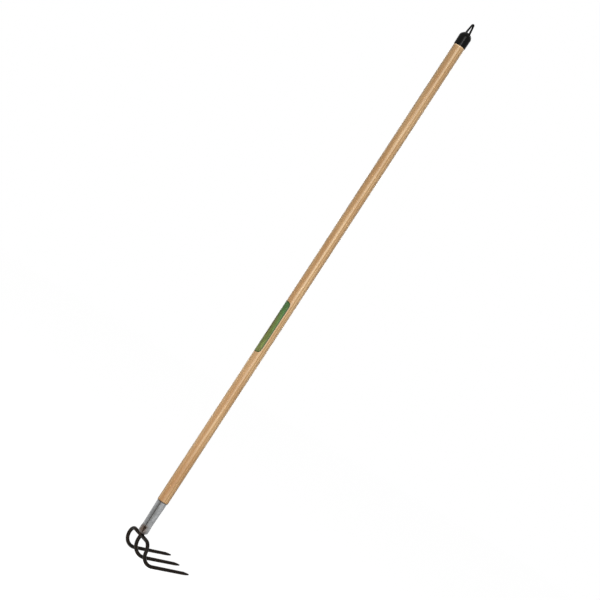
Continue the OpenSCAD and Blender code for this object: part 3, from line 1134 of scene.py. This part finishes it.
class CULTIVATOR_OT_tines(bpy.types.Operator):
    """Models the three hooked tines: rods bent over a shoulder and a hook, drawn to a point"""

    bl_idname = "cultivator.tines"
    bl_label = "Tines"

    def execute(self, context):
        sizes = context.scene.cultivator_claw
        enamel = dipped_enamel(sizes, SOCKET_LOW.z)
        hook_turn = math.pi / 2 + sizes.rise

        top = Vector((0, 0, CENTRE_HIGH.z))
        down = Vector((0, 0, -1))
        forward = Vector((1, 0, 0))
        hook_z = CENTRE_LOW.z + sizes.rod_d / 2 + sizes.centre_hook_r
        centre = rod_start("tine_centre_rod", top, down, sizes.rod_d)
        point = rod_straight(top, down, top.z - hook_z)
        point, heading, side = rod_bend(point, down, forward, sizes.centre_hook_r, hook_turn)
        rod_finish(centre, point, heading, -side, sizes)
        finish(centre, enamel, "dark_enamel", "tine_centre")

        lean = sizes.shoulder_lean
        root = Vector((0, LEFT_LOW.y, LEFT_HIGH.z - sizes.rod_d / 2))
        out = Vector((0, 1, 0))
        over = Vector((math.sin(lean), 0, -math.cos(lean)))
        left = rod_start("tine_left_rod", root, out, sizes.rod_d)
        point = rod_straight(root, out, sizes.pitch - sizes.shoulder_r - root.y)
        point, heading, side = rod_bend(point, out, over, sizes.shoulder_r, math.pi / 2)
        side = Vector((math.cos(lean), 0, math.sin(lean)))
        point, heading, side = rod_bend(
            point, heading, side, sizes.side_hook_r, hook_turn - lean
        )
        rod_finish(left, point, heading, -side, sizes)

        select(left)
        bpy.ops.object.duplicate()
        right = context.object
        right.name = right.data.name = "tine_right_rod"
        edit()
        bpy.ops.transform.resize(value=(1, -1, 1), center_override=(0, 0, 0))
        close(right)
        finish(left, enamel, "dark_enamel", "tine_left")
        finish(right, enamel, "dark_enamel", "tine_right")
        return {"FINISHED"}


class CULTIVATOR_OT_root_weld(bpy.types.Operator):
    """Models the weld at the roots: a turned bead, made finer and roughened"""

    bl_idname = "cultivator.root_weld"
    bl_label = "Root weld"

    def execute(self, context):
        sizes = context.scene.cultivator_claw
        mouth_z = SOCKET_HIGH.z - context.scene.cultivator_socket.length
        plug_r = context.scene.cultivator_socket.mouth_r - WELD_GAP
        ball_z = mouth_z - sizes.weld_drop
        ball = arc((0, ball_z), sizes.weld_r, BALL_START, BALL_END, WELD_STEPS)
        plug = [(plug_r, mouth_z + PLUG_FOOT), (plug_r, mouth_z + PLUG_TOP)]
        bead = turn("root_weld_bead", ball + plug, ROD_SIDES)
        bpy.ops.mesh.inset(thickness=PLUG_INSET)
        close(bead)
        apply_modifier(bead, "SUBSURF", levels=2, render_levels=2)
        ripples = bpy.data.textures.new("Weld ripples", "CLOUDS")
        ripples.noise_scale = RIPPLE_W
        ripples.noise_depth = 2
        apply_modifier(
            bead,
            "DISPLACE",
            texture=ripples,
            strength=RIPPLE_H,
            mid_level=0.6,
            texture_coords="LOCAL",
        )
        smooth(bead)
        finish(bead, burnt_weld(sizes), "weld", "root_weld")
        return {"FINISHED"}


class CULTIVATOR_OT_label(bpy.types.Operator):
    """Models the label: a flat film with round corners, rolled on to the shaft"""

    bl_idname = "cultivator.label"
    bl_label = "Label"

    def execute(self, context):
        sizes = context.scene.cultivator_label
        length = LABEL_HIGH.z - LABEL_LOW.z
        deselect()
        bpy.ops.mesh.primitive_plane_add(size=1.0)
        label = begin("label_film")
        bpy.ops.transform.resize(value=(sizes.width, length, 1))
        bpy.ops.mesh.bevel(offset=sizes.corner_r, segments=8, affect="VERTICES")
        for i in range(1, LABEL_STEPS):
            bpy.ops.mesh.select_all(action="SELECT")
            x = sizes.width * (i / LABEL_STEPS - 0.5)
            bpy.ops.mesh.bisect(plane_co=(x, 0, 0), plane_no=(1, 0, 0))
        bpy.ops.object.mode_set(mode="OBJECT")
        flat = label.data.uv_layers[0]
        for loop in label.data.loops:
            spot = label.data.vertices[loop.vertex_index].co
            flat.data[loop.index].uv = (spot.x / sizes.width + 0.5, spot.y / length + 0.5)
        # Each point keeps its distance along the film and goes round the wood.
        wrap = sizes.width / sizes.seat_r
        first = sizes.edge_turn - wrap
        for vert in label.data.vertices:
            around = first + (vert.co.x / sizes.width + 0.5) * wrap
            height = LABEL_LOW.z + vert.co.y + length / 2
            vert.co = (sizes.seat_r * math.cos(around), sizes.seat_r * math.sin(around), height)
        edit()
        close(label)
        apply_modifier(label, "SOLIDIFY", thickness=sizes.film_t, offset=1.0)
        smooth(label, FILM_CREASE)
        finish(label, printed_film(sizes, length), "label_film", "label")
        return {"FINISHED"}


class CULTIVATOR_PT_pieces(bpy.types.Panel):
    """Lists the pieces and the stage"""

    bl_label = "Cultivator claw"
    bl_idname = "CULTIVATOR_PT_pieces"
    bl_space_type = "VIEW_3D"
    bl_region_type = "UI"
    bl_category = "Cultivator"

    def draw(self, context):
        for made in PIECES:
            self.layout.operator(made.bl_idname)
        for group in GROUPS:
            settings = getattr(context.scene, group)
            box = self.layout.box()
            box.label(text=settings.bl_rna.description)
            for name in settings.__annotations__:
                box.prop(settings, name)


PIECES = (
    CULTIVATOR_OT_shaft,
    CULTIVATOR_OT_end_cap,
    CULTIVATOR_OT_socket,
    CULTIVATOR_OT_tines,
    CULTIVATOR_OT_root_weld,
    CULTIVATOR_OT_label,
    CULTIVATOR_OT_stage,
)
GROUPS = {
    "cultivator_shaft": CultivatorShaftSettings,
    "cultivator_cap": CultivatorCapSettings,
    "cultivator_socket": CultivatorSocketSettings,
    "cultivator_claw": CultivatorClawSettings,
    "cultivator_label": CultivatorLabelSettings,
    "cultivator_stage": CultivatorStageSettings,
}


def register():
    """Registers the settings, the operators and the panel."""
    for name, group in GROUPS.items():
        bpy.utils.register_class(group)
        setattr(bpy.types.Scene, name, PointerProperty(type=group))
    for made in PIECES:
        bpy.utils.register_class(made)
    bpy.utils.register_class(CULTIVATOR_PT_pieces)


def unregister():
    """Takes everything away again."""
    bpy.utils.unregister_class(CULTIVATOR_PT_pieces)
    for made in reversed(PIECES):
        bpy.utils.unregister_class(made)
    for name, group in reversed(GROUPS.items()):
        delattr(bpy.types.Scene, name)
        bpy.utils.unregister_class(group)


def main():
    """Builds every piece and the stage."""
    register()
    bpy.ops.cultivator.shaft()
    bpy.ops.cultivator.end_cap()
    bpy.ops.cultivator.socket()
    bpy.ops.cultivator.tines()
    bpy.ops.cultivator.root_weld()
    bpy.ops.cultivator.label()
    bpy.ops.cultivator.stage()


if __name__ == "__main__":
    main()
